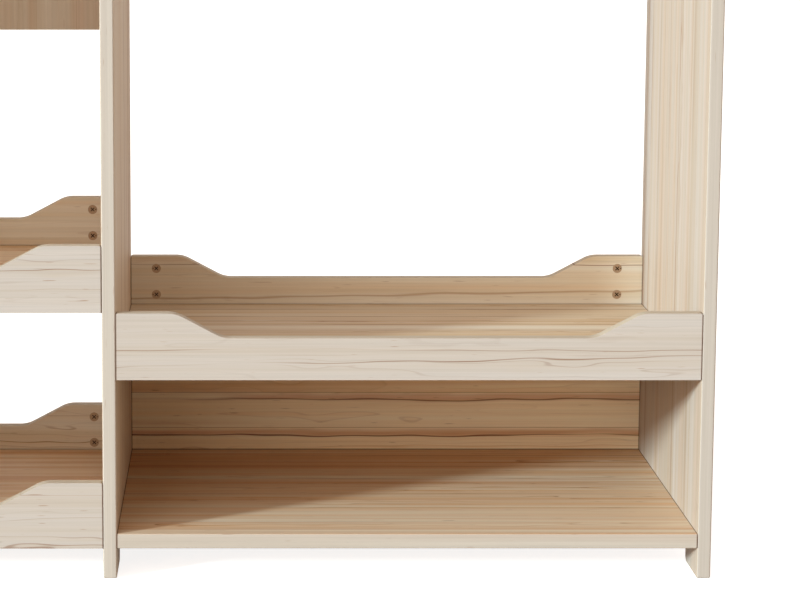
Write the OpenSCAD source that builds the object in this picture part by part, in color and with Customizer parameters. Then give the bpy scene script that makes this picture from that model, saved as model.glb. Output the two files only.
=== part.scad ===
// Dress up storage unit with mirror: pine boards, a wide hanging bay and a
// narrow bay with two trays and a framed mirror. Joined with cam locks and dowels.
// Origin at the middle of the footprint on the floor, front towards -Y, +Z up.

/* [Overall] */
// Overall height of the side panels
unit_h = 1100; // [1000:10:1300]
// Overall depth, front to back
unit_d = 450; // [400:5:480]
// Clear width of the hanging bay, on the right
bay_w = 680; // [560:10:800]
// Clear width of the tray and mirror bay, on the left
side_bay_w = 386; // [340:2:460]

/* [Boards] */
// Thickness of the pine boards
board_t = 16; // [16:0.5:19]
// Thickness of the two boards at the bottom
shelf_t = 17.5; // [15:0.5:20]
// Thickness of the tray bottoms above them
tray_t = 14; // [10:0.5:16]
// Radius of the top corners of the side panels
top_r = 50; // [20:5:90]
// Radius of the small corners at the ends of a rail
end_r = 3; // [1:0.5:5]

/* [Feet] */
// Depth of each foot, front to back
foot_d = 78; // [60:1:110]
// Height of the cut-out between the feet
arch_h = 32; // [24:1:34]
// Radius where the cut-out meets the foot
arch_r = 14; // [6:1:20]
// Radius of the foot's inner bottom corner
toe_r = 9; // [3:1:10]

/* [Levels] */
// Underside of the bottom boards above the floor
shelf_z = 36; // [35:1:60]
// Underside of the wide tray above the floor
tray_z = 237; // [220:1:300]
// Underside of the side tray above the floor
side_tray_z = 316; // [220:1:420]
// Top of the mirror board and top rail below the tops of the panels
top_gap = 24; // [10:1:60]

/* [Scalloped rails] */
// Height of a rail at its ends
rail_h = 78.5; // [74:0.5:100]
// Drop of the rail's middle below its ends
rail_dip = 29; // [15:0.5:34]
// Level stretch at each end of a rail
rail_flat = 60; // [45:1:70]
// Radius of the curves above and below the slope
rail_curve_r = 38; // [15:1:45]
// Steepness of the slope from the high end to the low middle, in degrees
rail_slope = 28; // [26:1:40]

/* [Hanging rail] */
// Diameter of the hanging rail
hanger_d = 25; // [20:1:32]
// Centre of the hanging rail below the tops of the panels
hanger_drop = 130; // [115:5:250]
// Depth of the socket for the hanging rail in each panel
hanger_seat = 8; // [6:0.5:10]

/* [Mirror] */
// Height of the mirror board
mirror_board_h = 460; // [380:10:600]
// Wood left visible round the mirror
mirror_margin = 52; // [50:1:70]
// Radius of the window's corners
window_r = 24; // [10:1:40]
// Thickness of the acrylic mirror
mirror_t = 3; // [2:0.5:4]
// Thickness of the backing sheet
backing_t = 3; // [2:0.5:4]
// Width of the rebate that holds the mirror
rebate_w = 8; // [6:0.5:10]
// Mirror board set forward from the back of the unit
mirror_setback = 5; // [4:0.5:20]
// Length of a retaining clip
clip_l = 26; // [22:1:30]
// Width of a retaining clip
clip_w = 12; // [8:1:16]
// Thickness of a retaining clip
clip_t = 1.5; // [1:0.5:2]

/* [Cam locks] */
// Diameter of a cam
cam_d = 12; // [10:0.5:12]
// Depth of a cam in its board
cam_h = 12; // [12:0.5:13]
// Centre of a cam from the panel that its bolt is in
cam_x = 34; // [24:1:34]
// Lower cam above the underside of a rail
cam_low = 27; // [20:1:28]
// Distance between the two cams at a rail's end
cam_pitch = 35; // [25:1:36]
// Diameter of a cam bolt
bolt_d = 6; // [5:0.5:6]
// Diameter of the bolt's neck
bolt_neck_d = 4; // [3:0.5:4]
// Depth of the bolt's thread in the panel
bolt_in = 11; // [9:0.5:11]

/* [Dowels and screws] */
// Diameter of a wooden dowel
dowel_d = 6; // [5:0.5:6]
// Depth of a dowel in a panel or rail
dowel_in = 9; // [7:0.5:10]
// Depth of a dowel in the board that it carries
dowel_out = 20; // [15:1:24]
// Diameter of the screws
screw_d = 4; // [3:0.5:4.5]

/* [Clearances] */
// Clearance all round in bores and sockets
fit = 0.1; // [0.1:0.05:0.2]
// Clearance between the mirror and the sides of its rebate
mirror_fit = 0.5; // [0.5:0.25:1]

/* [Hidden] */
$fn = 48;
// Length that a cut runs past the surface it starts from
past = 1;

// Places of the panels, front and back
unit_w = bay_w + side_bay_w + 3 * board_t;
left_in = -unit_w / 2 + board_t;
mid_l = left_in + side_bay_w;
mid_r = mid_l + board_t;
right_in = mid_r + bay_w;
front = -unit_d / 2;
back = unit_d / 2;
front_y = front + board_t / 2;
back_y = back - board_t / 2;
tray_d = unit_d - 2 * board_t;
shelf_d = unit_d - board_t;

// Levels
shelf_mid = shelf_z + shelf_t / 2;
back_panel_h = tray_z - shelf_z;
top_z = unit_h - top_gap;
hanger_z = unit_h - hanger_drop;
mirror_z = top_z - mirror_board_h;
mirror_y = back - mirror_setback - board_t / 2;

// Low middle of a rail and where the curve reaches it
arc_steps = 8;
rail_low = rail_h - rail_dip;
rail_landing = rail_flat + rail_dip / tan(rail_slope) + 2 * rail_curve_r * tan(rail_slope / 2);

// Mirror window, the rebate behind it and the pane in the rebate
window_w = side_bay_w - 2 * mirror_margin;
window_h = mirror_board_h - 2 * mirror_margin;
rebate_d = mirror_t + backing_t;
pane_w = window_w + 2 * (rebate_w - mirror_fit);
pane_h = window_h + 2 * (rebate_w - mirror_fit);
mirror_mid = [(left_in + mid_l) / 2, mirror_z + mirror_board_h / 2];
pane_front = mirror_y + board_t / 2 - rebate_d;
clip_step = window_h / 5;
clip_hole_x = -clip_l / 4;
clip_r = clip_w / 3;
clip_screw_d = 3;
clip_screw_l = 9;
clip_head_d = 7;
clip_head_h = 2;

// Cam and bolt details
bolt_head_d = bolt_d + 0.6;
bolt_head_l = 3;
bolt_bore_d = bolt_d + 1;
cross_l = 0.56 * cam_d;
cross_w = 1.3;
cross_deep = 1.6;
arrow_rim = 0.5;
arrow_l = 1.9;
arrow_deep = 0.5;

// Screws that hold the hanging rail from outside the panels
hanger_screw_l = 32;
hanger_head_d = 2 * screw_d;
hanger_head_h = screw_d / 2;

// Where each board is fixed to the panels, as [y, z] pairs
function rail_fixings(y, z) = [[y, z + cam_low], [y, z + cam_low + cam_pitch]];
shelf_cam_in = 60;
back_cam_shares = [0.4, 0.8];
tray_dowel_y = tray_d * 0.26;
rail_dowel_shares = [0.2, 0.5, 0.8];
mirror_cam_low = 48;
mirror_cam_high = 60;
shelf_fixings = [for (y = [shelf_cam_in, shelf_d - shelf_cam_in]) [front + y, shelf_mid]];
back_fixings = [for (k = back_cam_shares) [back_y, shelf_z + k * back_panel_h]];
mirror_fixings = [for (z = [mirror_z + mirror_cam_low, top_z - mirror_cam_high]) [mirror_y, z]];
tray_fixings = concat(rail_fixings(front_y, tray_z), rail_fixings(back_y, tray_z));
side_tray_fixings = concat(rail_fixings(front_y, side_tray_z), rail_fixings(back_y, side_tray_z));
side_base_fixings = concat(rail_fixings(front_y, shelf_z), rail_fixings(back_y, shelf_z));
top_fixings = rail_fixings(back_y, top_z - rail_h);
shelf_dowels = [[0, shelf_mid]];
tray_dowels = [for (y = [-tray_dowel_y, 0, tray_dowel_y]) [y, tray_z + tray_t / 2]];
side_tray_dowels = [for (s = [-1, 1]) [s * tray_dowel_y, side_tray_z + tray_t / 2]];
side_base_dowels = [for (s = [-1, 1]) [s * tray_dowel_y, shelf_mid]];
bay_fixings = concat(shelf_fixings, back_fixings, tray_fixings, top_fixings);
bay_dowels = concat(shelf_dowels, tray_dowels);
side_fixings = concat(side_base_fixings, side_tray_fixings, mirror_fixings);
side_dowels = concat(side_base_dowels, side_tray_dowels);

pine = "#e3cfae";
pine_rail = "#d9bd92";
pine_dark = "#c9a878";
dowel_wood = "#e8d9bb";
zinc = "#b9bcc0";
silvered = "#cfd8de";
hardboard = "#7b5a3c";

// ---- Placing helpers ----

// Children stand at each [y, z] on the panel face at x, with +X into the board
module on_face(x, dir, points) {
    for (p = points)
        translate([x, p[0], p[1]])
            mirror([dir > 0 ? 0 : 1, 0, 0])
                children();
}

// Children at both ends of a board that lies between the faces xa and xb
module at_ends(xa, xb, points) {
    on_face(xa, 1, points) children();
    on_face(xb, -1, points) children();
}

// ---- Outlines ----

// What a rounded corner takes off a square one, with the square corner at 0,0
module corner_waste(r) {
    difference() {
        translate([-past, -past])
            square(r + past);
        translate([r, r])
            circle(r);
    }
}

module rounded_rect(w, h, r) {
    difference() {
        translate([-w / 2, -h / 2])
            square([w, h]);
        for (a = [0, 1], b = [0, 1])
            mirror([a, 0])
                mirror([0, b])
                    translate([-w / 2, -h / 2])
                        corner_waste(r);
    }
}

// Cut-out between the feet, flared at the floor by the radius of the toes
module arch_outline() {
    half = unit_d / 2 - foot_d;
    difference() {
        translate([-half, -past])
            square([2 * half, arch_h + past]);
        for (a = [0, 1])
            mirror([a, 0])
                translate([-half, arch_h])
                    mirror([0, 1])
                        corner_waste(arch_r);
    }
    for (a = [0, 1])
        mirror([a, 0])
            translate([half, 0])
                difference() {
                    translate([-past, -past])
                        square(toe_r + past);
                    translate([toe_r, toe_r])
                        circle(toe_r);
                }
}

// Side panel seen along X, with y across and z up
module panel_outline() {
    difference() {
        translate([front, 0])
            square([unit_d, unit_h]);
        for (a = [0, 1])
            mirror([a, 0])
                translate([front, unit_h])
                    mirror([0, 1])
                        corner_waste(top_r);
        arch_outline();
    }
}

// Points along an arc of radius r about the centre c
function arc(c, r, from, to) =
    [for (i = [0:arc_steps]) c + r * [cos(from + (to - from) * i / arc_steps),
                                      sin(from + (to - from) * i / arc_steps)]];

// One side of a rail: rounded end, high level, arc over, slope, arc out to the low middle
function rail_side() = concat(
    [[0, 0]],
    arc([end_r, rail_h - end_r], end_r, 180, 90),
    arc([rail_flat, rail_h - rail_curve_r], rail_curve_r, 90, 90 - rail_slope),
    arc([rail_landing, rail_low + rail_curve_r], rail_curve_r, 270 - rail_slope, 270));

module rail_outline(w) {
    side = rail_side();
    polygon(concat(side, [for (i = [len(side) - 1:-1:0]) [w - side[i][0], side[i][1]]]));
}

// ---- Joining parts, drawn with the bolt along +X from the panel face at x = 0 ----

module rod(d, h) {
    rotate([0, 90, 0])
        cylinder(d = d, h = h);
}

// Cam bolt: thread in the panel, then shank, neck and head inside the cam
module bolt() {
    neck_x = cam_x - cam_d / 2 + past;
    translate([-bolt_in, 0, 0])
        rod(bolt_d, bolt_in + neck_x);
    rod(bolt_neck_d, cam_x);
    translate([cam_x - bolt_head_l / 2, 0, 0])
        rod(bolt_head_d, bolt_head_l);
}

module bolt_hole() {
    translate([-bolt_in - fit, 0, 0])
        rod(bolt_d + 2 * fit, bolt_in + fit + past);
}

// Height of a cam: it reaches as far past the middle of any board, however thick
function cam_length(t) = cam_h + (t - board_t) / 2;

// Bore for the bolt and pocket for the cam, open towards -Y of a board t thick
module cam_pocket(t) {
    translate([-past, 0, 0])
        rod(bolt_bore_d, cam_x + past);
    translate([cam_x, -t / 2 - past, 0])
        rotate([-90, 0, 0])
            cylinder(d = cam_d + 2 * fit, h = cam_length(t) + past);
}

// Cam with its crossed driver recess and an arrow that points at the panel
module cam(t) {
    translate([cam_x, -t / 2, 0])
        difference() {
            rotate([-90, 0, 0])
                cylinder(d = cam_d, h = cam_length(t));
            translate([-cam_d, t / 2, 0])
                rod(bolt_head_d + 2 * fit, cam_d + bolt_head_l / 2 + fit);
            for (a = [45, 135])
                rotate([0, a, 0])
                    translate([-cross_l / 2, -past, -cross_w / 2])
                        cube([cross_l, cross_deep + past, cross_w]);
            translate([arrow_rim - cam_d / 2, arrow_deep, 0])
                rotate([90, 0, 0])
                    linear_extrude(arrow_deep + past)
                        polygon([[0, 0], [arrow_l, arrow_l / 2], [arrow_l, -arrow_l / 2]]);
        }
}

module dowel() {
    translate([-dowel_in, 0, 0])
        rod(dowel_d, dowel_in + dowel_out);
}

module dowel_hole(l) {
    translate([-past, 0, 0])
        rod(dowel_d + 2 * fit, l + fit + past);
}

// ---- Panels ----

module panel_at(x) {
    translate([x, 0, 0])
        rotate([90, 0, 90])
            linear_extrude(board_t)
                panel_outline();
}

// Holes in the face at x of a panel that holds the boards on the dir side
module panel_holes(x, dir, fixings, dowels) {
    on_face(x, dir, fixings)
        bolt_hole();
    on_face(x, -dir, dowels)
        dowel_hole(dowel_in);
}

// Socket in the face at x for the hanging rail and the hole for its screw
module hanger_socket(x, dir) {
    on_face(x, dir, [[0, hanger_z]]) {
        translate([-hanger_seat - fit, 0, 0])
            rod(hanger_d + 2 * fit, hanger_seat + fit + past);
        translate([-board_t - past, 0, 0])
            rod(screw_d + 2 * fit, board_t + past);
        translate([-board_t, 0, 0])
            rotate([0, 90, 0])
                cylinder(d1 = hanger_head_d, d2 = screw_d, h = hanger_head_h);
    }
}

module left_panel() {
    color(pine)
        difference() {
            panel_at(left_in - board_t);
            panel_holes(left_in, 1, side_fixings, side_dowels);
        }
}

module middle_panel() {
    color(pine)
        difference() {
            panel_at(mid_l);
            panel_holes(mid_l, -1, side_fixings, side_dowels);
            panel_holes(mid_r, 1, bay_fixings, bay_dowels);
            hanger_socket(mid_r, 1);
        }
}

module right_panel() {
    color(pine)
        difference() {
            panel_at(right_in);
            panel_holes(right_in, -1, bay_fixings, bay_dowels);
            hanger_socket(right_in, -1);
        }
}

// ---- Boards ----

// Scalloped rail between the faces xa and xb, with its cams on the side turned by a
module rail(xa, xb, y, z, a) {
    difference() {
        translate([xa, y + board_t / 2, z])
            rotate([90, 0, 0])
                linear_extrude(board_t)
                    rail_outline(xb - xa);
        at_ends(xa, xb, rail_fixings(y, z))
            rotate([a, 0, 0])
                cam_pocket(board_t);
    }
}

// Places along X of the dowels between a tray bottom and its rails
function rail_dowel_x(xa, xb) = [for (k = rail_dowel_shares) xa + k * (xb - xa)];

// Children stand on the inner face of the front rail, s = -1, and of the back one, s = 1
module at_rails(xa, xb, z, sides = [-1, 1]) {
    for (x = rail_dowel_x(xa, xb), s = sides)
        translate([x, s * tray_d / 2, z])
            rotate([0, 0, -90 * s])
                children();
}

// Rail of a tray: one that also takes the dowels of a bottom at height dowel_z
module tray_rail(xa, xb, y, z, a, dowel_z) {
    difference() {
        rail(xa, xb, y, z, a);
        at_rails(xa, xb, dowel_z)
            mirror([1, 0, 0])
                dowel_hole(dowel_in);
    }
}

// Tray bottom between two rails, carried by dowels at its ends and long edges
module tray_bottom(xa, xb, z, t, ends) {
    difference() {
        translate([xa, -tray_d / 2, z])
            cube([xb - xa, tray_d, t]);
        at_ends(xa, xb, ends)
            dowel_hole(dowel_out);
        at_rails(xa, xb, z + t / 2)
            dowel_hole(dowel_out);
    }
}

// Places of the dowels between the bottom shelf and the lower back panel behind it
module at_shelf_back() {
    at_rails(mid_r, right_in, shelf_mid, [1])
        children();
}

module bottom_shelf() {
    color(pine)
        difference() {
            translate([mid_r, front, shelf_z])
                cube([bay_w, shelf_d, shelf_t]);
            at_ends(mid_r, right_in, shelf_fixings)
                rotate([90, 0, 0])
                    cam_pocket(shelf_t);
            at_ends(mid_r, right_in, shelf_dowels)
                dowel_hole(dowel_out);
            at_shelf_back()
                dowel_hole(dowel_out);
        }
}

module lower_back_panel() {
    color(pine_dark)
        difference() {
            translate([mid_r, back - board_t, shelf_z])
                cube([bay_w, board_t, back_panel_h]);
            at_ends(mid_r, right_in, back_fixings)
                rotate([180, 0, 0])
                    cam_pocket(board_t);
            at_shelf_back()
                mirror([1, 0, 0])
                    dowel_hole(dowel_in);
        }
}

module tray_board() {
    color(pine)
        tray_bottom(mid_r, right_in, tray_z, tray_t, tray_dowels);
}

module tray_front_rail() {
    color(pine_rail)
        tray_rail(mid_r, right_in, front_y, tray_z, 180, tray_z + tray_t / 2);
}

module tray_back_rail() {
    color(pine_rail)
        tray_rail(mid_r, right_in, back_y, tray_z, 0, tray_z + tray_t / 2);
}

module side_base_board() {
    color(pine)
        tray_bottom(left_in, mid_l, shelf_z, shelf_t, side_base_dowels);
}

module side_base_front_rail() {
    color(pine_rail)
        tray_rail(left_in, mid_l, front_y, shelf_z, 180, shelf_mid);
}

module side_base_back_rail() {
    color(pine_rail)
        tray_rail(left_in, mid_l, back_y, shelf_z, 0, shelf_mid);
}

module side_tray_board() {
    color(pine)
        tray_bottom(left_in, mid_l, side_tray_z, tray_t, side_tray_dowels);
}

module side_tray_front_rail() {
    color(pine_rail)
        tray_rail(left_in, mid_l, front_y, side_tray_z, 180, side_tray_z + tray_t / 2);
}

module side_tray_back_rail() {
    color(pine_rail)
        tray_rail(left_in, mid_l, back_y, side_tray_z, 0, side_tray_z + tray_t / 2);
}

module top_rail() {
    color(pine_rail)
        rail(mid_r, right_in, back_y, top_z - rail_h, 180);
}

// ---- Hanging rail ----

module hanging_rail() {
    color(dowel_wood)
        difference() {
            translate([mid_r - hanger_seat, 0, hanger_z])
                rod(hanger_d, bay_w + 2 * hanger_seat);
            at_ends(mid_r - hanger_seat, right_in + hanger_seat, [[0, hanger_z]])
                translate([-past, 0, 0])
                    rod(screw_d + 2 * fit, hanger_screw_l + past);
        }
}

module hanging_rail_screws() {
    color(zinc)
        at_ends(mid_r - board_t, right_in + board_t, [[0, hanger_z]]) {
            rod(screw_d, hanger_screw_l);
            rotate([0, 90, 0])
                cylinder(d1 = hanger_head_d - 2 * fit, d2 = screw_d - 2 * fit, h = hanger_head_h);
        }
}

// ---- Mirror ----

// Children drawn flat stand upright behind the plane at y, centred on the window
module upright(y, t) {
    translate([mirror_mid[0], y + t, mirror_mid[1]])
        rotate([90, 0, 0])
            linear_extrude(t)
                children();
}

// Children stand at each clip on the back of the board, with +X over the mirror
module at_clips() {
    for (s = [-1, 1], k = [-1, 1])
        translate([s * (window_w / 2 + rebate_w), k * clip_step])
            mirror([s > 0 ? 1 : 0, 0])
                children();
    for (s = [-1, 1])
        translate([0, s * (window_h / 2 + rebate_w)])
            rotate(-90 * s)
                children();
}

// Children as at_clips, raised to the back face of the mirror board
module on_back() {
    translate([mirror_mid[0], mirror_y + board_t / 2, mirror_mid[1]])
        rotate([90, 0, 0])
            mirror([0, 0, 1])
                at_clips()
                    children();
}

module mirror_board() {
    color(pine)
        difference() {
            translate([left_in, mirror_y - board_t / 2, mirror_z])
                cube([side_bay_w, board_t, mirror_board_h]);
            upright(mirror_y - board_t / 2 - past, board_t + 2 * past)
                rounded_rect(window_w, window_h, window_r);
            upright(pane_front, rebate_d + past)
                rounded_rect(window_w + 2 * rebate_w, window_h + 2 * rebate_w, window_r);
            at_ends(left_in, mid_l, mirror_fixings)
                rotate([180, 0, 0])
                    cam_pocket(board_t);
            on_back()
                translate([clip_hole_x, 0, -clip_screw_l - fit])
                    cylinder(d = clip_screw_d + 2 * fit, h = clip_screw_l + fit + past);
        }
}

module mirror_pane() {
    color(silvered)
        upright(pane_front, mirror_t)
            rounded_rect(pane_w, pane_h, window_r);
}

module mirror_backing() {
    color(hardboard)
        upright(pane_front + mirror_t, backing_t)
            rounded_rect(pane_w, pane_h, window_r);
}

module mirror_clips() {
    color(zinc)
        on_back()
            difference() {
                linear_extrude(clip_t)
                    rounded_rect(clip_l, clip_w, clip_r);
                translate([clip_hole_x, 0, -past])
                    cylinder(d = clip_screw_d + 2 * fit, h = clip_t + 2 * past);
            }
}

module mirror_clip_screws() {
    color(zinc)
        on_back()
            translate([clip_hole_x, 0, 0]) {
                translate([0, 0, -clip_screw_l])
                    cylinder(d = clip_screw_d, h = clip_screw_l + clip_t);
                translate([0, 0, clip_t])
                    cylinder(d = clip_head_d, h = clip_head_h);
            }
}

// ---- Cams, bolts and dowels ----

// Cams of a board of thickness t between xa and xb, opening to the side turned by a
module cams(xa, xb, fixings, a, t = board_t) {
    color(zinc)
        at_ends(xa, xb, fixings)
            rotate([a, 0, 0])
                cam(t);
}

module bolts(xa, xb, fixings) {
    color(zinc)
        at_ends(xa, xb, fixings)
            bolt();
}

module bottom_shelf_cams() {
    cams(mid_r, right_in, shelf_fixings, 90, shelf_t);
}

module lower_back_panel_cams() {
    cams(mid_r, right_in, back_fixings, 180);
}

module tray_front_rail_cams() {
    cams(mid_r, right_in, rail_fixings(front_y, tray_z), 180);
}

module tray_back_rail_cams() {
    cams(mid_r, right_in, rail_fixings(back_y, tray_z), 0);
}

module side_base_front_rail_cams() {
    cams(left_in, mid_l, rail_fixings(front_y, shelf_z), 180);
}

module side_base_back_rail_cams() {
    cams(left_in, mid_l, rail_fixings(back_y, shelf_z), 0);
}

module side_tray_front_rail_cams() {
    cams(left_in, mid_l, rail_fixings(front_y, side_tray_z), 180);
}

module side_tray_back_rail_cams() {
    cams(left_in, mid_l, rail_fixings(back_y, side_tray_z), 0);
}

module top_rail_cams() {
    cams(mid_r, right_in, top_fixings, 180);
}

module mirror_board_cams() {
    cams(left_in, mid_l, mirror_fixings, 180);
}

module bottom_shelf_bolts() {
    bolts(mid_r, right_in, shelf_fixings);
}

module lower_back_panel_bolts() {
    bolts(mid_r, right_in, back_fixings);
}

module tray_rail_bolts() {
    bolts(mid_r, right_in, tray_fixings);
}

module side_base_rail_bolts() {
    bolts(left_in, mid_l, side_base_fixings);
}

module side_tray_rail_bolts() {
    bolts(left_in, mid_l, side_tray_fixings);
}

module top_rail_bolts() {
    bolts(mid_r, right_in, top_fixings);
}

module mirror_board_bolts() {
    bolts(left_in, mid_l, mirror_fixings);
}

// Dowels of a tray bottom, into the panels and into both rails
module tray_bottom_dowels(xa, xb, z, ends) {
    color(dowel_wood) {
        at_ends(xa, xb, ends)
            dowel();
        at_rails(xa, xb, z)
            dowel();
    }
}

module bottom_shelf_dowels() {
    color(dowel_wood) {
        at_ends(mid_r, right_in, shelf_dowels)
            dowel();
        at_shelf_back()
            dowel();
    }
}

module tray_dowels() {
    tray_bottom_dowels(mid_r, right_in, tray_z + tray_t / 2, tray_dowels);
}

module side_base_dowels() {
    tray_bottom_dowels(left_in, mid_l, shelf_mid, side_base_dowels);
}

module side_tray_dowels() {
    tray_bottom_dowels(left_in, mid_l, side_tray_z + tray_t / 2, side_tray_dowels);
}

left_panel();
middle_panel();
right_panel();
bottom_shelf();
lower_back_panel();
tray_board();
tray_front_rail();
tray_back_rail();
side_base_board();
side_base_front_rail();
side_base_back_rail();
side_tray_board();
side_tray_front_rail();
side_tray_back_rail();
top_rail();
hanging_rail();
hanging_rail_screws();
mirror_board();
mirror_pane();
mirror_backing();
mirror_clips();
mirror_clip_screws();
bottom_shelf_cams();
lower_back_panel_cams();
tray_front_rail_cams();
tray_back_rail_cams();
side_base_front_rail_cams();
side_base_back_rail_cams();
side_tray_front_rail_cams();
side_tray_back_rail_cams();
top_rail_cams();
mirror_board_cams();
bottom_shelf_bolts();
lower_back_panel_bolts();
tray_rail_bolts();
side_base_rail_bolts();
side_tray_rail_bolts();
top_rail_bolts();
mirror_board_bolts();
bottom_shelf_dowels();
tray_dowels();
side_base_dowels();
side_tray_dowels();
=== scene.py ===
import math

import bmesh
import bpy
import numpy as np
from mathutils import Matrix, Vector


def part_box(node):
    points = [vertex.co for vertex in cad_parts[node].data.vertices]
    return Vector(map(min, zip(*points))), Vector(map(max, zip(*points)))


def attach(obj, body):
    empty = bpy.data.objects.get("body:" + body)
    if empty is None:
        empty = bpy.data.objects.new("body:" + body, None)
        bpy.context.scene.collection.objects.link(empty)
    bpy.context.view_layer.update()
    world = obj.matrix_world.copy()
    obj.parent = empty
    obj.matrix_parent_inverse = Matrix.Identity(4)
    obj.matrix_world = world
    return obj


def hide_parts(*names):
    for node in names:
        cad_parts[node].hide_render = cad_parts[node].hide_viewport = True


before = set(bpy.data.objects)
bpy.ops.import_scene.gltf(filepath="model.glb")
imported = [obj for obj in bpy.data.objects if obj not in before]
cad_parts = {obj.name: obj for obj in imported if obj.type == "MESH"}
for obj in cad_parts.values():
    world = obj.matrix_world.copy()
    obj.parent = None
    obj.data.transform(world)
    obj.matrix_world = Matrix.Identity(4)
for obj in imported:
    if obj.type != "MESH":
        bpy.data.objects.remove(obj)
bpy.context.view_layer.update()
print("frame loaded:", len(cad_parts), "CAD nodes")


# ---- small helpers ----

def linearColor(hexValue):
    # an sRGB hex value as linear red, green, blue, alpha
    parts = [int(hexValue[i:i + 2], 16) / 255 for i in (1, 3, 5)]
    return [p / 12.92 if p <= 0.04045 else ((p + 0.055) / 1.055) ** 2.4 for p in parts] + [1.0]


def addNode(tree, kind, values=None, links=None, **settings):
    # adds one shader node, sets its own settings and socket values, and links its inputs
    node = tree.nodes.new(kind)
    for name, value in settings.items():
        setattr(node, name, value)
    for socket, value in (values or {}).items():
        node.inputs[socket].default_value = value
    for socket, source in (links or {}).items():
        out = source if isinstance(source, bpy.types.NodeSocket) else source.outputs[0]
        tree.links.new(out, node.inputs[socket])
    return node


def calc(tree, operation, *inputs):
    # a math node, whose inputs are numbers, nodes or sockets
    numbers = {i: given for i, given in enumerate(inputs) if isinstance(given, (int, float))}
    sources = {i: given for i, given in enumerate(inputs) if i not in numbers}
    return addNode(tree, "ShaderNodeMath", operation=operation, values=numbers, links=sources)


def blend(tree, share, first, second, kind="MIX"):
    # mixes second into first by share; both are hex values, nodes or sockets
    colors = {6: first, 7: second}
    plain = {socket: linearColor(color) for socket, color in colors.items() if isinstance(color, str)}
    sources = {socket: color for socket, color in colors.items() if socket not in plain}
    return addNode(tree, "ShaderNodeMix", data_type="RGBA", blend_type=kind, values=plain,
                   links={0: share, **sources}).outputs[2]


def newMaterial(name):
    # an empty node material and its output node
    material = bpy.data.materials.new(name)
    material.use_nodes = True
    material.node_tree.nodes.clear()
    return material, addNode(material.node_tree, "ShaderNodeOutputMaterial")


def newObject(name, data):
    # an object at the origin for a mesh, a lamp or a camera
    made = bpy.data.objects.new(name, data)
    bpy.context.scene.collection.objects.link(made)
    return made


# ---- pine ----

# What all the boards share. Lengths run along the grain and widths across it, in millimetres. Fibres are
# drawn 1 mm wide, as real ones don't show. A Span says over which values of a noise, or of a facing, the
# effect goes from none to full, and noiseSpan is the one that takes in most of a noise. What is Faint is
# how much shows where the noise is low.
pine = {
    "noiseSpan": (0.3, 0.7), "seedStep": 13.7, "staveShift": 60,
    # years: two noises push them aside by up to bendShift and eyeShift. yearStops are the places in a year
    # where its late wood begins, is full, and where its dark line begins and ends.
    "bendLength": 1300, "bendWidth": 36, "bendShift": 110,
    "eyeLength": 62, "eyeWidth": 11, "eyeShift": 16,
    "yearStops": (0.45, 0.88, 0.925, 0.965), "yearSpan": (0.45, 1.0), "yearFaint": 0.08,
    "fadeLength": 300, "fadeWidth": 22, "fadeSpan": (0.36, 0.56), "fadeFaint": 0.15,
    "flameSpan": (0.40, 0.54), "flameFaint": 0.12,
    # tones: streaks and fibres lighten and darken by their Depth
    "toneLength": 1100, "toneWidth": 14,
    "heartLength": 1500, "heartWidth": 17, "heartSpan": (0.50, 0.68),
    "streakLength": 520, "streakWidth": 3.0, "streakDepth": 0.04,
    "fibreLength": 150, "fibreWidth": 1.0, "fibreDepth": 0.04,
    "resinLength": 24, "resinWidth": 1.5, "resinSpan": (0.80, 0.88), "resinShow": 0.6,
    "resinColor": "#8a5a36",
    # narrow sides show sideRings of the years and take the edge tone by the share after it, painted light
    # set by how the lamps fall on them; end grain is darker
    "sideSpan": (0.5, 0.8), "sideRings": 0.12, "sidePaintedLight": 0.85,
    "endSpan": (0.6, 0.95), "endLight": 0.86,
    # glue lines and seams: full up to the first distance from the joint, gone at the second; a seam along an
    # inner corner is painted shade
    "glueSpan": (0.15, 0.5), "seamSpan": (0.55, 1.43), "seamAndShadeColor": "#52290f",
    # lacquer: satin, with a relief of 0.1 mm that only softens the gloss
    "ior": 1.5, "specular": 0.2, "roughness": 0.56, "roughnessSpread": 0.10,
    "reliefStrength": 0.25, "reliefDepth": 0.1,
}

# One dictionary per board. grain is the axis that the fibres follow, across the one over which the face
# is cut. pale and deep are the wood's two tones, heart the reddish tone of its inner bands, band and
# line tint the late wood of each year. years is how far these lie apart, and rings how strongly the
# strongest shows. The tones of each wood and board are partly painted light: boards that lie flat or
# stand in the bays' shade are toned paler, the front rails and the lit right panel deeper. edge is the tone
# of the narrow sides, painted light that sets them apart from the broad faces by how the lamps fall on
# them. stave is the width of the strips that the board is glued from, staveFrom one joint of them, and
# glue the strength of the line there. The tone tilt is how much deeper the tone gets per metre across;
# on the bottom shelf it is painted shade, deeper towards its shaded back. flames are single long dark
# lines: place across, slope, sway, half width, strength and colour. seams are the planes where the board
# meets another: axis, place and strength of the dark line, a dark joint at the board's ends and painted
# shade along an inner corner.
leftIn, middleLeft = (corner.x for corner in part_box("side_base_board"))
middleRight, rightIn = (corner.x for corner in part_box("bottom_shelf"))
wideEnds = [("X", middleRight, 0.8), ("X", rightIn, 0.8)]
sideEnds = [("X", leftIn, 0.8), ("X", middleLeft, 0.8)]
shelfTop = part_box("bottom_shelf")[1].z
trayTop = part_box("tray_board")[1].z
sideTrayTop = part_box("side_tray_board")[1].z

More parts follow.
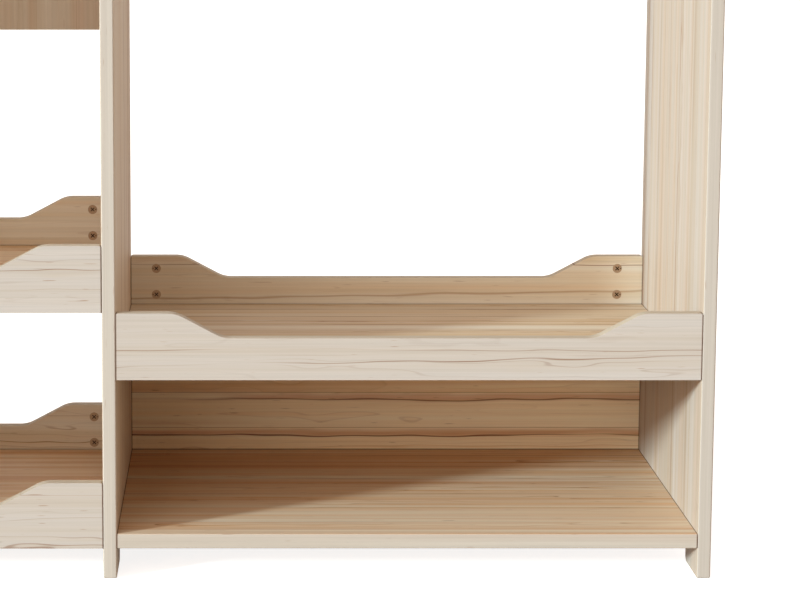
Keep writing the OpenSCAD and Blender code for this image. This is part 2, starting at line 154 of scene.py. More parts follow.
panelWood = {"grain": "Z", "across": "Y", "pale": "#c9b9a5", "deep": "#c0a98f", "heart": "#be987b",
             "band": "#f2e6db", "line": "#d9b99c", "edge": "#b8a99b", "rings": 0.55, "years": 17,
             "toneSpread": 0.5, "paintedShadeTilt": 0, "heartShare": 0.35, "stave": 52, "staveFrom": 0, "glue": 0.30,
             "flames": [], "round": 1.8, "seams": []}
railWood = {"grain": "X", "across": "Z", "pale": "#bcada1", "deep": "#b8a696", "heart": "#c2a482",
            "band": "#faf4ec", "line": "#a8794c", "edge": "#b9a58b", "rings": 1.0, "years": 14,
            "toneSpread": 0.3, "paintedShadeTilt": 0, "heartShare": 0.0, "stave": 400, "staveFrom": -300,
            "glue": 0.30, "flames": [], "round": 1.6}
# painted light: boards that lie flat are toned paler than the rails and panels that face the lamps
boardWood = {"grain": "X", "across": "Y", "pale": "#e6ccac", "deep": "#d8b185", "heart": "#c68754",
             "band": "#ecd3ba", "line": "#b0825a", "edge": "#b3a496", "rings": 0.75, "years": 12,
             "toneSpread": 0.4, "paintedShadeTilt": 0, "heartShare": 0.5, "stave": 56, "staveFrom": 18, "glue": 0.30,
             "flames": [], "round": 1.6}

# rails behind the bays: the same wood, toned paler and warmer than the front rails: painted light that lifts
# the shade they stand in
backRailPaintedLight = {"pale": "#e0d4c0", "deep": "#d5c0a0", "heart": "#d9ae7c", "heartShare": 0.35}

boards = {
    "left_panel": {**panelWood, "slot": "pine_panel", "seed": 3},
    # painted light: the middle panel, shaded on its inner face, is toned paler than the other panels
    "middle_panel": {**panelWood, "slot": "pine_panel", "seed": 11, "pale": "#d5c3ae", "deep": "#cfb598",
                     "flames": [(-60, 0, 6, 7, 0.6, "#b27548"), (33, 0, 6, 7, 0.7, "#b27548"),
                                (86, 0, 6, 6, 0.7, "#b27548"), (149, 0, 6, 9, 0.85, "#b27548"),
                                (190, 0, 6, 9, 0.8, "#b27548")]},
    # painted light: the right panel, lit full on its inner face, is toned deeper than the other panels
    "right_panel": {**panelWood, "slot": "pine_panel", "seed": 23, "pale": "#bcab9c", "deep": "#b39d87",
                    "heart": "#bd9c80", "flames": [
                        (-130, 0, 6, 8, 0.25, "#cba583"), (-114, 0, 6, 4, 0.25, "#cba583"),
                        (-35, 0, 6, 5, 0.4, "#c69a70"), (33, 0, 6, 4, 0.3, "#cba583"),
                        (76, 0, 6, 3, 0.35, "#c69a70"), (105, 0, 8, 10, 0.4, "#c69a70"),
                        (168, 0, 6, 5, 0.5, "#c69a70"), (205, 0, 8, 12, 0.5, "#c69a70")]},
    "bottom_shelf": {**boardWood, "slot": "pine_board", "seed": 5, "pale": "#e0ccb1", "deep": "#daae82",
                     # the tilt here is painted shade: the shelf's tone deepens towards its back, where it
                     # lies in shade
                     "paintedShadeTilt": 1.7, "seams": wideEnds, "flames": [
                         (172, 0, 6, 2.5, 0.6, "#a8603c"), (114, 0, 6, 1.8, 0.55, "#a8603c"),
                         (46, 0, 8, 2.0, 0.5, "#a8603c"), (-33, 0, 5, 2.0, 0.55, "#a8603c"),
                         (-102, 0, 6, 1.4, 0.5, "#a8704c"), (-168, 0, 10, 1.2, 0.4, "#a8704c")]},
    # painted light: the lower bay's back panel, deep in shade, is toned much paler than the other boards
    "lower_back_panel": {**boardWood, "across": "Z", "slot": "pine_board", "seed": 8, "stave": 47.6,
                         "staveFrom": 83.7, "rings": 0.45, "toneSpread": 0.75, "glue": 0.75, "flames": [
                             (122.5, 0, 10, 1.6, 0.8, "#7a4424"), (125.5, 0, 8, 7.5, 0.55, "#c98560"),
                             (74, 0, 10, 1.3, 0.9, "#7a4424"), (77.5, 0, 8, 5.5, 0.50, "#c98560")],
                         "pale": "#f7e4c2", "deep": "#edcda1", "heart": "#d9a06c",
                         # the seam along the shelf's top is painted shade in the inner corner
                         "seams": wideEnds + [("Z", shelfTop, 0.8)]},
    "tray_board": {**boardWood, "slot": "pine_board", "seed": 13, "pale": "#d6c5ae", "deep": "#c9ad8a",
                   "heartShare": 0.4, "heart": "#c8a272", "seams": wideEnds, "flames": [
                       (170, 0, 6, 3.5, 0.8, "#a8744c"), (117, 0, 6, 3.0, 0.7, "#a8744c"),
                       (84, 0, 6, 2.5, 0.6, "#a8744c"), (60, 0, 6, 3.0, 0.8, "#a8744c"),
                       (20, 0, 8, 2.5, 0.5, "#a8744c")]},
    "tray_front_rail": {**railWood, "slot": "pine_rail", "seed": 2, "rings": 0.4, "seams": wideEnds,
                        "flames": [(272.6, 0, 9, 0.8, 0.65, "#a8794c"),
                                   (254.6, 0.021, 12, 0.9, 0.75, "#a8794c"),
                                   (266.0, 0, 5, 0.6, 0.4, "#a8794c")]},
    "tray_back_rail": {**railWood, "slot": "pine_rail", "seed": 7, **backRailPaintedLight,
                       # the seam at the tray's top is painted shade in the inner corner
                       "seams": wideEnds + [("Z", trayTop, 0.4)], "flames": [
                           (304, 0, 4, 0.8, 0.8, "#8f5c34"), (261, 0.015, 8, 2, 0.5, "#b98a5c")]},
    "side_base_board": {**boardWood, "slot": "pine_board", "seed": 17, "seams": sideEnds},
    "side_base_front_rail": {**railWood, "slot": "pine_rail", "seed": 19, "seams": sideEnds},
    "side_base_back_rail": {**railWood, "slot": "pine_rail", "seed": 29, **backRailPaintedLight,
                            # the seam at the side board's top is painted shade in the inner corner
                            "seams": sideEnds + [("Z", shelfTop, 0.4)]},
    "side_tray_board": {**boardWood, "slot": "pine_board", "seed": 31, "seams": sideEnds},
    "side_tray_front_rail": {**railWood, "slot": "pine_rail", "seed": 37, "seams": sideEnds},
    "side_tray_back_rail": {**railWood, "slot": "pine_rail", "seed": 41, **backRailPaintedLight,
                            # the seam at the side tray's top is painted shade in the inner corner
                            "seams": sideEnds + [("Z", sideTrayTop, 0.4)]},
    "top_rail": {**railWood, "slot": "pine_rail", "seed": 43, **backRailPaintedLight, "seams": wideEnds},
    "mirror_board": {**panelWood, "slot": "pine_panel", "seed": 47, "across": "X", "round": 1.6,
                     "seams": sideEnds},
    "hanging_rail": {**railWood, "slot": "turned_pine", "seed": 53, "round": 0, "seams": wideEnds},
}


def pineMaterial(name, board):
    # Satin-lacquered pine: pale early wood, tan late wood that ends in a thin line, long fibres, soft gloss.
    material, output = newMaterial("lacqueredPine_" + name)
    tree = material.node_tree
    thick = next(axis for axis in "XYZ" if axis not in (board["grain"], board["across"]))
    place = addNode(tree, "ShaderNodeTexCoord")
    split = addNode(tree, "ShaderNodeSeparateXYZ", links={0: place.outputs["Object"]})
    turned = addNode(tree, "ShaderNodeCombineXYZ", links={
        0: split.outputs[board["grain"]], 1: split.outputs[board["across"]], 2: split.outputs[thick]})
    grain = addNode(tree, "ShaderNodeMapping", values={"Scale": (1000, 1000, 1000)}, links={0: turned})
    grainSplit = addNode(tree, "ShaderNodeSeparateXYZ", links={0: grain})
    along, across = grainSplit.outputs["X"], grainSplit.outputs["Y"]

    # staves: each has a number, and random values that shift its pattern and its tone
    staveCount = addNode(tree, "ShaderNodeMapRange", clamp=False, links={0: across}, values={
        1: board["staveFrom"], 2: board["staveFrom"] + board["stave"], 3: 0.0, 4: 1.0})
    staveKey = calc(tree, "ADD", calc(tree, "FLOOR", staveCount), board["seed"] * pine["seedStep"])
    staveRandom = addNode(tree, "ShaderNodeTexWhiteNoise", noise_dimensions="1D", links={"W": staveKey})
    staveShift = addNode(tree, "ShaderNodeVectorMath", operation="SCALE", values={3: pine["staveShift"]},
                         links={0: staveRandom.outputs["Color"]})

    def stretchedNoise(length, width, detail=2.0):
        # noise that is longer along the grain than across it
        scaled = addNode(tree, "ShaderNodeVectorMath", operation="MULTIPLY_ADD",
                         values={1: (1 / length, 1 / width, 1 / width)}, links={0: grain, 2: staveShift})
        return addNode(tree, "ShaderNodeTexNoise", values={"Scale": 1.0, "Detail": detail, "Roughness": 0.5},
                       links={"Vector": scaled})

    def remap(source, span, lowTo, highTo):
        # runs from lowTo to highTo while the source runs over the span
        return addNode(tree, "ShaderNodeMapRange", links={0: source},
                       values={1: span[0], 2: span[1], 3: lowTo, 4: highTo})

    bend = stretchedNoise(pine["bendLength"], pine["bendWidth"])
    eyes = stretchedNoise(pine["eyeLength"], pine["eyeWidth"], 0.0)
    fade = stretchedNoise(pine["fadeLength"], pine["fadeWidth"])
    tone = stretchedNoise(pine["toneLength"], pine["toneWidth"])
    heart = stretchedNoise(pine["heartLength"], pine["heartWidth"], 1.0)
    streaks = stretchedNoise(pine["streakLength"], pine["streakWidth"])
    fibres = stretchedNoise(pine["fibreLength"], pine["fibreWidth"], 3.0)
    resin = stretchedNoise(pine["resinLength"], pine["resinWidth"], 0.0)

    # the year a point grew in: years lie evenly across the log, pushed aside by two noises
    bent = calc(tree, "MULTIPLY_ADD", bend, pine["bendShift"], across)
    eyed = calc(tree, "MULTIPLY_ADD", eyes, pine["eyeShift"], bent)
    year = calc(tree, "DIVIDE", eyed, board["years"])
    ring = addNode(tree, "ShaderNodeValToRGB", links={0: calc(tree, "FRACT", year)})
    stops = ring.color_ramp.elements
    stops[0].position, stops[0].color = 0.0, (1, 1, 1, 1)
    stops[1].position, stops[1].color = 1.0, (1, 1, 1, 1)
    for position, color in zip(pine["yearStops"], ("#ffffff", board["band"], board["line"], board["line"])):
        stops.new(position).color = linearColor(color)
    # most years are faint, a few are strong, and each fades along its length
    yearKey = calc(tree, "ADD", calc(tree, "FLOOR", year), staveKey)
    yearRandom = addNode(tree, "ShaderNodeTexWhiteNoise", noise_dimensions="1D", links={"W": yearKey})
    yearShow = remap(yearRandom, pine["yearSpan"], pine["yearFaint"], board["rings"])
    fadeShow = remap(fade, pine["fadeSpan"], pine["fadeFaint"], 1.0)
    # the narrow sides are cut along the grain and show the years faintly
    facing = addNode(tree, "ShaderNodeSeparateXYZ", links={0: place.outputs["Normal"]})
    sideways = calc(tree, "ABSOLUTE", facing.outputs[board["across"]])
    sideRings = remap(sideways, pine["sideSpan"], 1.0, pine["sideRings"])
    ringShow = calc(tree, "MULTIPLY", calc(tree, "MULTIPLY", yearShow, fadeShow), sideRings)

    # wood colour: two tones by stave and noise, reddish inner bands, the narrow sides' painted-light tone,
    # rings
    spread = board["toneSpread"]
    toneNoise = remap(tone, pine["noiseSpan"], -spread / 2, 1 - spread / 2)
    # the tilt across is painted shade where it is set, deepening the tone towards a board's shaded back
    paintedShadeTilt = calc(tree, "MULTIPLY_ADD", across, board["paintedShadeTilt"] / 1000, toneNoise)
    staveTone = calc(tree, "MULTIPLY_ADD", staveRandom.outputs["Value"], spread, paintedShadeTilt)
    color = blend(tree, staveTone, board["pale"], board["deep"])
    color = blend(tree, remap(heart, pine["heartSpan"], 0.0, board["heartShare"]), color, board["heart"])
    # painted light: the narrow sides take the edge tone, set apart from the broad faces by how the lamps
    # fall on them
    color = blend(tree, remap(sideways, pine["sideSpan"], 0.0, pine["sidePaintedLight"]), color, board["edge"])
    color = blend(tree, ringShow, color, ring, "MULTIPLY")
    # flames: single long lines of dark late wood, which sway and come and go along the grain. Both noises
    # lie around a half, so a line sways around its place.
    flameLight = remap(fade, pine["flameSpan"], pine["flameFaint"], 1.0)
    for start, slope, sway, width, strength, tint in board["flames"]:
        leaned = calc(tree, "MULTIPLY_ADD", along, -slope, across)
        swayed = calc(tree, "MULTIPLY_ADD", fade, sway, leaned)
        kinked = calc(tree, "MULTIPLY_ADD", eyes, sway / 2, swayed)
        distance = calc(tree, "ABSOLUTE", calc(tree, "SUBTRACT", kinked, start + (sway + sway / 2) / 2))
        nearness = remap(distance, (width * 0.2, width), strength, 0.0)
        color = blend(tree, calc(tree, "MULTIPLY", flameLight, nearness), color, tint, "MULTIPLY")
    color = blend(tree, remap(resin, pine["resinSpan"], 0.0, pine["resinShow"]), color, pine["resinColor"])
    # fibres and streaks, and end grain, which drinks more lacquer and looks darker
    fibreLight = remap(fibres, pine["noiseSpan"], 1 - pine["fibreDepth"], 1 + pine["fibreDepth"])
    streakLight = remap(streaks, pine["noiseSpan"], 1 - pine["streakDepth"], 1 + pine["streakDepth"])
    endways = calc(tree, "ABSOLUTE", facing.outputs[board["grain"]])
    endLight = remap(endways, pine["endSpan"], 1.0, pine["endLight"])
    light = calc(tree, "MULTIPLY", calc(tree, "MULTIPLY", fibreLight, streakLight), endLight)
    color = addNode(tree, "ShaderNodeVectorMath", operation="SCALE", links={0: color, 3: light}).outputs[0]
    # glue lines between the staves, and the dark line where the board meets its neighbours: a dark joint at
    # its ends, painted shade along an inner corner
    glueSpan = [distance / board["stave"] for distance in pine["glueSpan"]]
    glue = remap(calc(tree, "PINGPONG", staveCount, 0.5), glueSpan, board["glue"], 0.0)
    color = blend(tree, glue, color, pine["resinColor"])
    seamSpan = [distance / 1000 for distance in pine["seamSpan"]]
    for axis, where, strength in board["seams"]:
        distance = calc(tree, "ABSOLUTE", calc(tree, "SUBTRACT", split.outputs[axis], where))
        color = blend(tree, remap(distance, seamSpan, strength, 0.0), color, pine["seamAndShadeColor"])

    dull = pine["roughnessSpread"] / 2
    rough = remap(fibres, pine["noiseSpan"], pine["roughness"] - dull, pine["roughness"] + dull)
    relief = addNode(tree, "ShaderNodeBump", links={"Height": fibres}, values={
        "Strength": pine["reliefStrength"], "Distance": pine["reliefDepth"] / 1000})
    shader = addNode(tree, "ShaderNodeBsdfPrincipled",
                     values={"IOR": pine["ior"], "Specular IOR Level": pine["specular"]},
                     links={"Base Color": color, "Roughness": rough, "Normal": relief})
    tree.links.new(shader.outputs[0], output.inputs[0])
    return material


# How a CAD mesh is finished, in millimetres and degrees. Points within merge become one and edges flatter
# than flat go. Edges sharper than sharp are rounded where they belong to a run longer than smallest and
# don't lie within touching of a neighbour. Edges from crease on stay hard in the shading.
finishing = {"merge": 0.002, "flat": 0.4, "sharp": 30, "smallest": 40, "touching": 0.2, "segments": 3,
             "crease": 40}


def finishedCopy(node, name, roundWidth, material, seams=()):
    # a merged copy of a CAD node, with its flat faces joined and its convex outline edges rounded
    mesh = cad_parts[node].data.copy()
    mesh.name = name
    shape = bmesh.new()
    shape.from_mesh(mesh)
    bmesh.ops.remove_doubles(shape, verts=shape.verts, dist=finishing["merge"] / 1000)
    bmesh.ops.dissolve_limit(shape, angle_limit=math.radians(finishing["flat"]), verts=shape.verts,
                             edges=shape.edges)
    sharp, crease = math.radians(finishing["sharp"]), math.radians(finishing["crease"])
    left = {e for e in shape.edges if len(e.link_faces) == 2 and e.calc_face_angle() > sharp}
    rounded = []
    while left:
        # one connected run of sharp edges: the outline of the board, or the rim of a bore
        run, front = set(), [left.pop()]
        while front:
            edge = front.pop()
            run.add(edge)
            near = {other for vertex in edge.verts for other in vertex.link_edges} & left
            left -= near
            front.extend(near)
        points = np.array([vertex.co for edge in run for vertex in edge.verts])
        if np.ptp(points, axis=0).max() < finishing["smallest"] / 1000:
            continue
        for edge in run:
            against = any(all(abs(vertex.co["XYZ".index(axis)] - where) < finishing["touching"] / 1000
                              for vertex in edge.verts) for axis, where, strength in seams)
            if roundWidth and edge.is_convex and not against:
                rounded.append(edge)
    if rounded:
        # sets have no fixed order, so the edges are sorted to give the same mesh each run
        shape.edges.index_update()
        rounded.sort(key=lambda edge: edge.index)
        bmesh.ops.bevel(shape, geom=rounded, offset=roundWidth / 1000, offset_type="OFFSET",
                        segments=finishing["segments"], profile=0.5, affect="EDGES", clamp_overlap=True)
    for face in shape.faces:
        face.smooth = True
    for edge in shape.edges:
        edge.smooth = len(edge.link_faces) == 2 and edge.calc_face_angle() < crease
    shape.to_mesh(mesh)
    shape.free()
    mesh.materials.clear()
    mesh.materials.append(material)
    piece = newObject(name, mesh)
    # big flat faces decide the shading, so that it runs smoothly over the rounding alone
    piece.modifiers.new("faceNormals", "WEIGHTED_NORMAL").keep_sharp = True
    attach(piece, "root")
    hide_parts(node)
    return piece


for node, board in boards.items():
    finishedCopy(node, node + "_wood", board["round"], pineMaterial(node, board),
                 board["seams"])
print("boards finished:", len(boards))


# ---- metal, beech, hardboard and mirror ----

# What these finishes share: the noise's detail and the span that takes in most of it, by how much it
# changes the gloss, and the relief it leaves, in millimetres.
speckles = {"detail": 3.0, "span": (0.3, 0.7), "glossChange": 0.15, "reliefStrength": 0.3,
            "reliefDepth": 0.04}


def speckle(tree, place, grit):
    # a fine noise with grains of grit millimetres along each axis, and its relief
    scaled = addNode(tree, "ShaderNodeMapping", links={0: place.outputs["Object"]},
                     values={"Scale": [1000 / size for size in grit]})
    noise = addNode(tree, "ShaderNodeTexNoise", values={"Scale": 1.0, "Detail": speckles["detail"]},
                    links={"Vector": scaled})
    relief = addNode(tree, "ShaderNodeBump", links={"Height": noise}, values={
        "Strength": speckles["reliefStrength"], "Distance": speckles["reliefDepth"] / 1000})
    return noise, relief


def speckledMaterial(name, look):
    # one finish of two close colours mixed by a fine noise, which also changes its gloss
    material, output = newMaterial(name)
    tree = material.node_tree
    noise, relief = speckle(tree, addNode(tree, "ShaderNodeTexCoord"), look["grit"])
    rough = addNode(tree, "ShaderNodeMapRange", links={0: noise}, values={
        1: speckles["span"][0], 2: speckles["span"][1],
        3: look["roughness"] * (1 - speckles["glossChange"]),
        4: look["roughness"] * (1 + speckles["glossChange"])})
    shader = addNode(tree, "ShaderNodeBsdfPrincipled", values=look["shader"], links={
        "Base Color": blend(tree, noise, look["light"], look["dark"]), "Roughness": rough,
        "Normal": relief})
    tree.links.new(shader.outputs[0], output.inputs[0])
    return material


# Zinc-plated steel: cooler, brighter and smoother than the cast cams
platedSteel = {"light": "#b9bcc0", "dark": "#9fa3a8", "roughness": 0.30, "grit": (0.5, 0.5, 0.5),
               "shader": {"Metallic": 1.0}}
# Raw beech dowels: short fine flecks along the rod
rawBeech = {"light": "#d9bb93", "dark": "#c29f74", "roughness": 0.60, "grit": (12, 1.2, 1.2),
            "shader": {"IOR": 1.5}}
# Hardboard: dark pressed fibre, dull
hardboard = {"light": "#7a5a3e", "dark": "#5d4229", "roughness": 0.75, "grit": (1.5, 1.5, 1.5),
             "shader": {"IOR": 1.5}}

steelFinish = speckledMaterial("zincPlatedSteel", platedSteel)
beechFinish = speckledMaterial("rawBeech", rawBeech)
hardboardFinish = speckledMaterial("pressedHardboard", hardboard)
finishOf = {"bolts": steelFinish, "screws": steelFinish, "clips": steelFinish,
            "dowels": beechFinish, "backing": hardboardFinish}

# Die-cast zinc with a warm passivation: a dull brownish grey, near black where the cross and the arrow
# are pressed in: painted shade in these hollows. faceDepth is where that starts below the cam's face, in mm.
castZinc = {"light": "#bfa081", "dark": "#a98a6b", "paintedRecessShade": "#2c1d13", "faceDepth": (0.1, 0.5),
            "grit": (0.8, 0.8, 0.8), "roughness": 0.6, "metallic": 0.55}


def castZincMaterial(name, axis, face, outward):
    # axis and face are the plane of the cams' open ends, outward is 1 or -1
    material, output = newMaterial("passivatedCastZinc_" + name)
    tree = material.node_tree
    place = addNode(tree, "ShaderNodeTexCoord")
    split = addNode(tree, "ShaderNodeSeparateXYZ", links={0: place.outputs["Object"]})
    noise, relief = speckle(tree, place, castZinc["grit"])
    start, end = castZinc["faceDepth"]
    # painted shade: what lies deeper than the cam's face turns near black
    paintedRecessShade = addNode(tree, "ShaderNodeMapRange", links={0: split.outputs[axis]}, values={
        1: face - outward * start / 1000, 2: face - outward * end / 1000, 3: 0.0, 4: 1.0})
    metal = blend(tree, noise, castZinc["light"], castZinc["dark"])
    shader = addNode(tree, "ShaderNodeBsdfPrincipled",
                     values={"Metallic": castZinc["metallic"], "Roughness": castZinc["roughness"]},
                     links={"Base Color": blend(tree, paintedRecessShade, metal, castZinc["paintedRecessShade"]),
                            "Normal": relief})
    tree.links.new(shader.outputs[0], output.inputs[0])
    return material


for node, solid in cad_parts.items():
    finish = finishOf.get(node.split("_")[-1])
    if node.endswith("_cams"):
        # the cams' open ends are flush with one face of their board, on its thinnest axis
        (boardLow, boardHigh), (camLow, camHigh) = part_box(node[:-len("_cams")]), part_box(node)
        thin = min(range(3), key=lambda k: boardHigh[k] - boardLow[k])
        outward = 1 if boardHigh[thin] - camHigh[thin] < camLow[thin] - boardLow[thin] else -1
        finish = castZincMaterial(node, "XYZ"[thin], (camHigh if outward > 0 else camLow)[thin], outward)
    if finish:
        solid.data.materials.clear()
        solid.data.materials.append(finish)
print("fittings finished")


def solidBoxes(node):
    # lowest and highest corner of each separate solid of a CAD node
    shape = bmesh.new()
    shape.from_mesh(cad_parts[node].data)
    bmesh.ops.remove_doubles(shape, verts=shape.verts, dist=finishing["merge"] / 1000)
    left, found = set(shape.verts), []
    while left:
        front, solid = [left.pop()], []
        while front:
            vertex = front.pop()
            solid.append(vertex.co.copy())
            near = {edge.other_vert(vertex) for edge in vertex.link_edges} & left
            left -= near
            front.extend(near)
        points = np.array(solid)
        found.append((points.min(axis=0), points.max(axis=0)))
    shape.free()
    # sorted, as sets have no fixed order
    return sorted(found, key=lambda box: tuple(box[0]))


# Cross-head screws, in millimetres: the profile is radius and height from the tip to the middle of the
# head, and the cross is pressed into the head's top. Its reach and width are half the bars' length and
# width. turning holds what both share: sides around the axis, rings over the head, over how much the bars'
# walls slope, and how far below its top the head can be pressed.
clipScrew = {"profile": [(0, -9), (1.1, -8.4), (1.5, -7.6), (1.5, 1.5), (3.1, 1.5), (3.5, 1.9),
                         (3.5, 2.3), (3.25, 2.85), (2.7, 3.25), (2.1, 3.42), (1.6, 3.47), (1.1, 3.49),
                         (0.6, 3.5), (0, 3.5)],
             "crossReach": 1.9, "crossWidth": 0.42, "crossDepth": 1.1}
hangerScrew = {"profile": [(0, -32), (1.3, -30.5), (2, -28.5), (2, -2), (3.7, -0.3), (3.85, -0.12),
                           (3.7, -0.02), (2.9, 0), (2.3, 0), (1.7, 0), (1.1, 0), (0.6, 0), (0, 0)],
               "crossReach": 2.3, "crossWidth": 0.5, "crossDepth": 1.4}
turning = {"sides": 64, "headRings": 14, "barSlope": 0.25, "pressZone": 0.6}


def screwSurfaces(name, screw, places, node):
    # Screws as one mesh: the profile is resampled and turned around the axis, and points of the head's top
    # are lowered where they lie in either bar of the cross.
    profile = np.array(screw["profile"], dtype=float)
    top = profile[:, 1].max()
    along = np.concatenate(([0], np.cumsum(np.hypot(*np.diff(profile, axis=0).T))))
    headStart = along[-1] - profile[:, 0].max()
    fine = np.unique(np.concatenate((along, np.linspace(headStart, along[-1], turning["headRings"]))))
    radius, height = np.interp(fine, along, profile[:, 0]), np.interp(fine, along, profile[:, 1])
    turns = np.linspace(0, 2 * np.pi, turning["sides"], endpoint=False)
    r, t = np.meshgrid(radius[1:-1], turns, indexing="ij")
    x, y, z = r * np.cos(t), r * np.sin(t), np.repeat(height[1:-1, None], len(turns), axis=1)
    narrow, long = np.minimum(abs(x), abs(y)), np.maximum(abs(x), abs(y))
    inBar = np.clip((screw["crossWidth"] - narrow) / turning["barSlope"], 0, 1)
    inBar *= np.clip((screw["crossReach"] - long) / turning["barSlope"], 0, 1)
    z = z - screw["crossDepth"] * inBar * (z > top - turning["pressZone"])
    grid = np.stack((x, y, z), axis=-1).reshape(-1, 3)
    rings, sides = len(radius) - 2, len(turns)
    points = np.vstack((grid, [[0, 0, height[0]], [0, 0, height[-1] - screw["crossDepth"]]]))
    i, j = np.meshgrid(np.arange(rings - 1), np.arange(sides), indexing="ij")
    k = (j + 1) % sides
    walls = np.stack((i * sides + j, i * sides + k, (i + 1) * sides + k, (i + 1) * sides + j), axis=-1)
    walls = walls.reshape(-1, 4)
    low, high = np.arange(sides), (rings - 1) * sides + np.arange(sides)
    caps = [np.stack((np.roll(low, -1), low, np.full(sides, rings * sides)), axis=-1),
            np.stack((high, np.roll(high, -1), np.full(sides, rings * sides + 1)), axis=-1)]
    vertices, faces = [], []
    for head, axis in places:
        turnTo = Vector(axis).to_track_quat("Z", "Y").to_matrix()
        start = sum(len(v) for v in vertices)
        vertices.append(points / 1000 @ np.array(turnTo).T + np.array(head))
        faces += (walls + start).tolist() + (caps[0] + start).tolist() + (caps[1] + start).tolist()
    mesh = bpy.data.meshes.new(name)
    mesh.from_pydata(np.vstack(vertices).tolist(), [], faces)
    mesh.shade_smooth()
    mesh.set_sharp_from_angle(angle=math.radians(finishing["crease"]))
    mesh.materials.append(steelFinish)
    piece = newObject(name, mesh)
    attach(piece, "root")
    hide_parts(node)


clipHead = max(height for radius, height in clipScrew["profile"]) / 1000
clipPlaces = [(((low[0] + high[0]) / 2, high[1] - clipHead, (low[2] + high[2]) / 2), (0, 1, 0))
              for low, high in solidBoxes("mirror_clip_screws")]
screwSurfaces("clip_screw_heads", clipScrew, clipPlaces, "mirror_clip_screws")
hangerPlaces = []
for low, high in solidBoxes("hanging_rail_screws"):
    # each head lies in the outer face of its panel
    outward = 1 if low[0] > 0 else -1
    headX = high[0] if outward > 0 else low[0]
    hangerPlaces.append(((headX, (low[1] + high[1]) / 2, (low[2] + high[2]) / 2), (outward, 0, 0)))
screwSurfaces("hanger_screw_heads", hangerScrew, hangerPlaces, "hanging_rail_screws")
print("screws turned:", len(clipPlaces) + len(hangerPlaces))

# Acrylic mirror: a silvered back seen through clear sheet, slightly cool, smooth, with a faint long wave.
# The wave's length and height are in metres, the rounding in millimetres.
mirror = {"tint": "#dfe6e8", "tintDark": "#d6dee1", "roughness": 0.03, "waveLength": 0.15,
          "waveHeight": 0.0004, "waveStrength": 0.15, "round": 0.4}
mirrorFinish, mirrorOutput = newMaterial("silveredAcrylic")
mirrorTree = mirrorFinish.node_tree
mirrorPlace = addNode(mirrorTree, "ShaderNodeTexCoord")
mirrorScaled = addNode(mirrorTree, "ShaderNodeMapping", links={0: mirrorPlace.outputs["Object"]},
                       values={"Scale": [1 / mirror["waveLength"]] * 3})
mirrorWave = addNode(mirrorTree, "ShaderNodeTexNoise", values={"Scale": 1.0, "Detail": 1.0},
                     links={"Vector": mirrorScaled})
mirrorRelief = addNode(mirrorTree, "ShaderNodeBump", links={"Height": mirrorWave}, values={
    "Strength": mirror["waveStrength"], "Distance": mirror["waveHeight"]})
mirrorShader = addNode(mirrorTree, "ShaderNodeBsdfPrincipled",
                       values={"Metallic": 1.0, "Roughness": mirror["roughness"]}, links={
                           "Base Color": blend(mirrorTree, mirrorWave, mirror["tint"], mirror["tintDark"]),
                           "Normal": mirrorRelief})
mirrorTree.links.new(mirrorShader.outputs[0], mirrorOutput.inputs[0])
finishedCopy("mirror_pane", "mirror_pane_sheet", mirror["round"], mirrorFinish)
print("mirror finished")


# ---- stage, light and camera ----

# skyLight is the strength at which the sky lights the object, background the one at which it is seen. The
# floor glows by floorGlow where it is seen, and by glossyShare of that in the mirror, so that it stays pale.
stage = {"size": 60.0, "floorColor": "#cdc5bc", "floorGlow": 0.84, "glossyShare": 0.5, "skyLight": 0.59,
         "skyColor": "#fff0e4", "background": 1.0}
# spread is a lamp's width as seen from the object, and mirrored tells whether glossy surfaces show it: the
# soft box would fill the mirror with plain white
lamps = {
    "keyLight": {"fromLeft": 57.7, "elevation": 14.3, "spread": 6.0, "strength": 4.75, "color": "#d4f1ff",
                 "mirrored": True},
    "softBox": {"fromLeft": 38.0, "elevation": 15.0, "spread": 60.0, "strength": 1.50, "color": "#fcfeff",
                "mirrored": False},
}
# the picture shows the lower right part of the unit, so the lens is shifted instead of turned
camera = {"place": (-0.0012, -3.1025, 0.8277), "down": 7.79, "lens": 113.64, "shift": (0.2069, -0.11),
          "sensor": 36, "sight": 200}

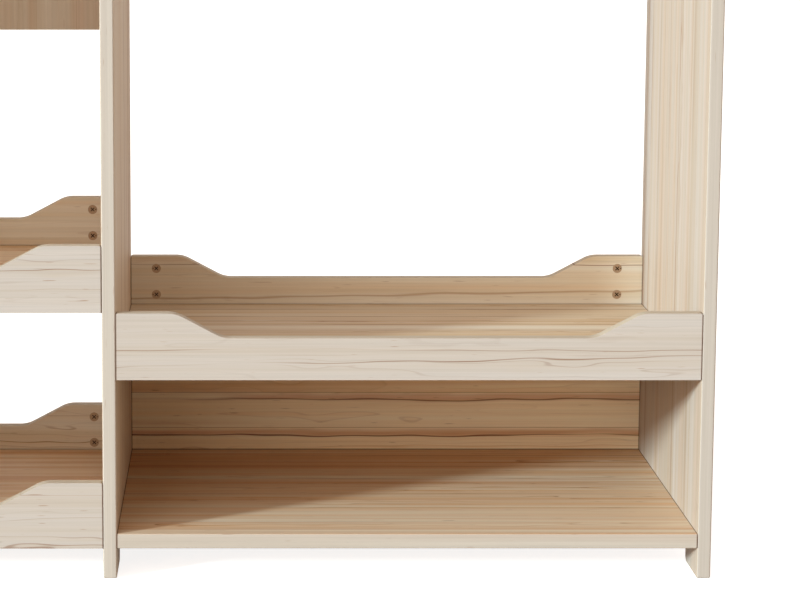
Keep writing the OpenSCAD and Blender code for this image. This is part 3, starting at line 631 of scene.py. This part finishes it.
floorMesh = bpy.data.meshes.new("floor")
reach = stage["size"] / 2
floorMesh.from_pydata([(-reach, -reach, 0), (reach, -reach, 0), (reach, reach, 0), (-reach, reach, 0)], [],
                      [(0, 1, 2, 3)])
floor = newObject("floor", floorMesh)
floorFinish, floorOutput = newMaterial("mattWhitePaper")
floorTree = floorFinish.node_tree
floorRays = addNode(floorTree, "ShaderNodeLightPath")
seen = calc(floorTree, "MULTIPLY_ADD", floorRays.outputs["Is Glossy Ray"], stage["glossyShare"],
            floorRays.outputs["Is Camera Ray"])
glow = calc(floorTree, "MULTIPLY", seen, stage["floorGlow"])
floorShader = addNode(floorTree, "ShaderNodeBsdfPrincipled",
                      values={"Base Color": linearColor(stage["floorColor"]), "Roughness": 1.0,
                              "Specular IOR Level": 0.0, "Emission Color": (1, 1, 1, 1)},
                      links={"Emission Strength": glow})
floorTree.links.new(floorShader.outputs[0], floorOutput.inputs[0])
floorMesh.materials.append(floorFinish)

world = bpy.data.worlds.new("plainSky")
bpy.context.scene.world = world
world.use_nodes = True
worldTree = world.node_tree
worldTree.nodes.clear()
skyRays = addNode(worldTree, "ShaderNodeLightPath")
straight = calc(worldTree, "MAXIMUM", skyRays.outputs["Is Camera Ray"], skyRays.outputs["Is Glossy Ray"])
shown = calc(worldTree, "MAXIMUM", straight, skyRays.outputs["Is Transmission Ray"])
skyStrength = addNode(worldTree, "ShaderNodeMapRange", links={0: shown},
                      values={1: 0.0, 2: 1.0, 3: stage["skyLight"], 4: stage["background"]})
skyTint = blend(worldTree, shown, stage["skyColor"], "#ffffff")
sky = addNode(worldTree, "ShaderNodeBackground", links={"Color": skyTint, "Strength": skyStrength})
addNode(worldTree, "ShaderNodeOutputWorld", links={0: sky})

for name, lamp in lamps.items():
    sun = bpy.data.lights.new(name, "SUN")
    sun.energy = lamp["strength"]
    sun.angle = math.radians(lamp["spread"])
    sun.color = linearColor(lamp["color"])[:3]
    holder = newObject(name, sun)
    holder.visible_glossy = lamp["mirrored"]
    turn, rise = math.radians(lamp["fromLeft"]), math.radians(lamp["elevation"])
    travel = Vector((math.sin(turn) * math.cos(rise), math.cos(turn) * math.cos(rise), -math.sin(rise)))
    holder.rotation_euler = travel.to_track_quat("-Z", "Y").to_euler()

lens = bpy.data.cameras.new("camera")
lens.lens = camera["lens"]
lens.sensor_width = camera["sensor"]
lens.shift_x, lens.shift_y = camera["shift"]
lens.clip_end = camera["sight"]
eye = newObject("camera", lens)
eye.location = camera["place"]
eye.rotation_euler = (math.radians(90 - camera["down"]), 0, 0)
bpy.context.scene.camera = eye
bpy.context.scene.view_settings.view_transform = "Standard"
print("stage, light and camera placed")
